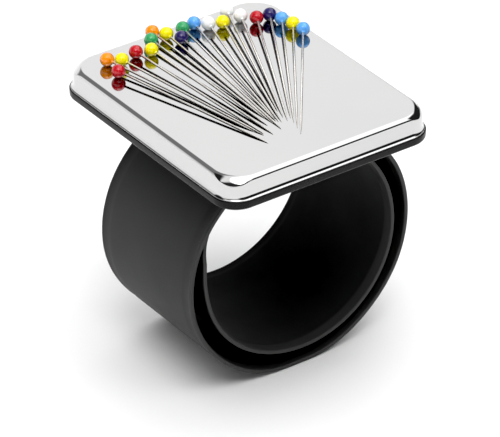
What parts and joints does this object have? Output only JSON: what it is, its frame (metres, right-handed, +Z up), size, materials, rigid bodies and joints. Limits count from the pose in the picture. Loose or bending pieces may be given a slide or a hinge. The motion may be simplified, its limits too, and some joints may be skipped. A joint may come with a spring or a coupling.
{
  "type": "magnetic wrist pin cushion",
  "caption": "Magnetic wrist pin holder: rounded rectangular steel cap on a black tray, carried by a wide black snap band curled into a double loop, with ball-head pins lying on the cap.",
  "frame": {"origin": "bottom centre of the whole object's box, on the surface it stands on", "axes": "+Z up through the steel face, Y along the axis of the wrist loop, X across the loop with the outer arm's root on the -X side"},
  "size_m": [0.0696, 0.0754, 0.0789],
  "materials": {
    "polished_steel": "pressed stainless sheet, satin polished top and bright shoulders",
    "black_moulding": "moulded black, fine matt",
    "ferrite": "sintered hard ferrite, ground faces",
    "bond": "thin bonding film",
    "black_silicone": "black silicone, matt with a faint sheen",
    "spring_steel": "blued thin spring strip",
    "pin_steel": "nickel plated steel wire",
    "head_red": "glossy ball",
    "head_orange": "glossy ball",
    "head_yellow": "glossy ball",
    "head_green": "glossy ball",
    "head_navy": "glossy ball",
    "head_sky": "glossy ball",
    "head_white": "glossy ball"
  },
  "bodies": {
    "plate": {"steel_cap": "polished_steel", "base_tray": "black_moulding", "magnet": "ferrite", "bonding_pad": "bond", "band_sleeve_middle": "black_silicone", "spring_strip_middle": "spring_steel"},
    "outer_arm_1": {"outer_sleeve_1": "black_silicone", "outer_spring_1": "spring_steel"},
    "outer_arm_2": {"outer_sleeve_2": "black_silicone", "outer_spring_2": "spring_steel"},
    "outer_arm_3": {"outer_sleeve_3": "black_silicone", "outer_spring_3": "spring_steel"},
    "outer_arm_4": {"outer_sleeve_4": "black_silicone", "outer_spring_4": "spring_steel"},
    "outer_arm_5": {"outer_sleeve_5": "black_silicone", "outer_spring_5": "spring_steel"},
    "inner_arm_1": {"inner_sleeve_1": "black_silicone", "inner_spring_1": "spring_steel"},
    "inner_arm_2": {"inner_sleeve_2": "black_silicone", "inner_spring_2": "spring_steel"},
    "pin_01": {"pin_head_01": "head_red", "pin_shaft_01": "pin_steel"},
    "pin_02": {"pin_head_02": "head_orange", "pin_shaft_02": "pin_steel"},
    "pin_03": {"pin_head_03": "head_yellow", "pin_shaft_03": "pin_steel"},
    "pin_04": {"pin_head_04": "head_red", "pin_shaft_04": "pin_steel"},
    "pin_05": {"pin_head_05": "head_yellow", "pin_shaft_05": "pin_steel"},
    "pin_06": {"pin_head_06": "head_green", "pin_shaft_06": "pin_steel"},
    "pin_07": {"pin_head_07": "head_orange", "pin_shaft_07": "pin_steel"},
    "pin_08": {"pin_head_08": "head_yellow", "pin_shaft_08": "pin_steel"},
    "pin_09": {"pin_head_09": "head_navy", "pin_shaft_09": "pin_steel"},
    "pin_10": {"pin_head_10": "head_green", "pin_shaft_10": "pin_steel"},
    "pin_11": {"pin_head_11": "head_sky", "pin_shaft_11": "pin_steel"},
    "pin_12": {"pin_head_12": "head_white", "pin_shaft_12": "pin_steel"},
    "pin_13": {"pin_head_13": "head_yellow", "pin_shaft_13": "pin_steel"},
    "pin_14": {"pin_head_14": "head_white", "pin_shaft_14": "pin_steel"},
    "pin_15": {"pin_head_15": "head_white", "pin_shaft_15": "pin_steel"},
    "pin_16": {"pin_head_16": "head_red", "pin_shaft_16": "pin_steel"},
    "pin_17": {"pin_head_17": "head_navy", "pin_shaft_17": "pin_steel"},
    "pin_18": {"pin_head_18": "head_sky", "pin_shaft_18": "pin_steel"},
    "pin_19": {"pin_head_19": "head_yellow", "pin_shaft_19": "pin_steel"},
    "pin_20": {"pin_head_20": "head_sky", "pin_shaft_20": "pin_steel"}
  },
  "joints": [
    {"name": "outer_arm_unroll_1", "type": "hinge", "parent": "plate", "child": "outer_arm_1", "pos_m": [-0.01847, 0, 0.06091], "axis": [0, 1, 0], "range_deg": [0, 62.8], "stiffness_Nm_per_rad": 0.05, "springref_deg": -28.65},
    {"name": "outer_arm_unroll_2", "type": "hinge", "parent": "outer_arm_1", "child": "outer_arm_2", "pos_m": [-0.03366, 0, 0.03076], "axis": [0, 1, 0], "range_deg": [0, 63]},
    {"name": "outer_arm_unroll_3", "type": "hinge", "parent": "outer_arm_2", "child": "outer_arm_3", "pos_m": [-0.01322, 0, 0.00221], "axis": [0, 1, 0], "range_deg": [0, 63]},
    {"name": "outer_arm_unroll_4", "type": "hinge", "parent": "outer_arm_3", "child": "outer_arm_4", "pos_m": [0.02229, 0, 0.00759], "axis": [0, 1, 0], "range_deg": [0, 63]},
    {"name": "outer_arm_unroll_5", "type": "hinge", "parent": "outer_arm_4", "child": "outer_arm_5", "pos_m": [0.03402, 0, 0.04193], "axis": [0, 1, 0], "range_deg": [0, 63]},
    {"name": "inner_arm_curl_1", "type": "hinge", "parent": "plate", "child": "inner_arm_1", "pos_m": [0.00914, 0, 0.00677], "axis": [0, 1, 0], "range_deg": [0, 10], "stiffness_Nm_per_rad": 0.05, "springref_deg": -17.19},
    {"name": "inner_arm_curl_2", "type": "hinge", "parent": "inner_arm_1", "child": "inner_arm_2", "pos_m": [-0.01952, 0, 0.01477], "axis": [0, 1, 0], "range_deg": [0, 10.2]},
    {"name": "pin_01_lift", "type": "slide", "parent": "plate", "child": "pin_01", "axis": [0, 0, 1], "range_m": [0, 0.06]},
    {"name": "pin_02_lift", "type": "slide", "parent": "plate", "child": "pin_02", "axis": [0, 0, 1], "range_m": [0, 0.06]},
    {"name": "pin_03_lift", "type": "slide", "parent": "plate", "child": "pin_03", "axis": [0, 0, 1], "range_m": [0, 0.06]},
    {"name": "pin_04_lift", "type": "slide", "parent": "plate", "child": "pin_04", "axis": [0, 0, 1], "range_m": [0, 0.06]},
    {"name": "pin_05_lift", "type": "slide", "parent": "plate", "child": "pin_05", "axis": [0, 0, 1], "range_m": [0, 0.06]},
    {"name": "pin_06_lift", "type": "slide", "parent": "plate", "child": "pin_06", "axis": [0, 0, 1], "range_m": [0, 0.06]},
    {"name": "pin_07_lift", "type": "slide", "parent": "plate", "child": "pin_07", "axis": [0, 0, 1], "range_m": [0, 0.06]},
    {"name": "pin_08_lift", "type": "slide", "parent": "plate", "child": "pin_08", "axis": [0, 0, 1], "range_m": [0, 0.06]},
    {"name": "pin_09_lift", "type": "slide", "parent": "plate", "child": "pin_09", "axis": [0, 0, 1], "range_m": [0, 0.06]},
    {"name": "pin_10_lift", "type": "slide", "parent": "plate", "child": "pin_10", "axis": [0, 0, 1], "range_m": [0, 0.06]},
    {"name": "pin_11_lift", "type": "slide", "parent": "plate", "child": "pin_11", "axis": [0, 0, 1], "range_m": [0, 0.06]},
    {"name": "pin_12_lift", "type": "slide", "parent": "plate", "child": "pin_12", "axis": [0, 0, 1], "range_m": [0, 0.06]},
    {"name": "pin_13_lift", "type": "slide", "parent": "plate", "child": "pin_13", "axis": [0, 0, 1], "range_m": [0, 0.06]},
    {"name": "pin_14_lift", "type": "slide", "parent": "plate", "child": "pin_14", "axis": [0, 0, 1], "range_m": [0, 0.06]},
    {"name": "pin_15_lift", "type": "slide", "parent": "plate", "child": "pin_15", "axis": [0, 0, 1], "range_m": [0, 0.06]},
    {"name": "pin_16_lift", "type": "slide", "parent": "plate", "child": "pin_16", "axis": [0, 0, 1], "range_m": [0, 0.06]},
    {"name": "pin_17_lift", "type": "slide", "parent": "plate", "child": "pin_17", "axis": [0, 0, 1], "range_m": [0, 0.06]},
    {"name": "pin_18_lift", "type": "slide", "parent": "plate", "child": "pin_18", "axis": [0, 0, 1], "range_m": [0, 0.06]},
    {"name": "pin_19_lift", "type": "slide", "parent": "plate", "child": "pin_19", "axis": [0, 0, 1], "range_m": [0, 0.06]},
    {"name": "pin_20_lift", "type": "slide", "parent": "plate", "child": "pin_20", "axis": [0, 0, 1], "range_m": [0, 0.06]}
  ],
  "couplings": [
    {"joint": "outer_arm_unroll_2", "follows": "outer_arm_unroll_1", "ratio": 1},
    {"joint": "outer_arm_unroll_3", "follows": "outer_arm_unroll_1", "ratio": 1},
    {"joint": "outer_arm_unroll_4", "follows": "outer_arm_unroll_1", "ratio": 1},
    {"joint": "outer_arm_unroll_5", "follows": "outer_arm_unroll_1", "ratio": 1},
    {"joint": "inner_arm_curl_2", "follows": "inner_arm_curl_1", "ratio": 1}
  ]
}
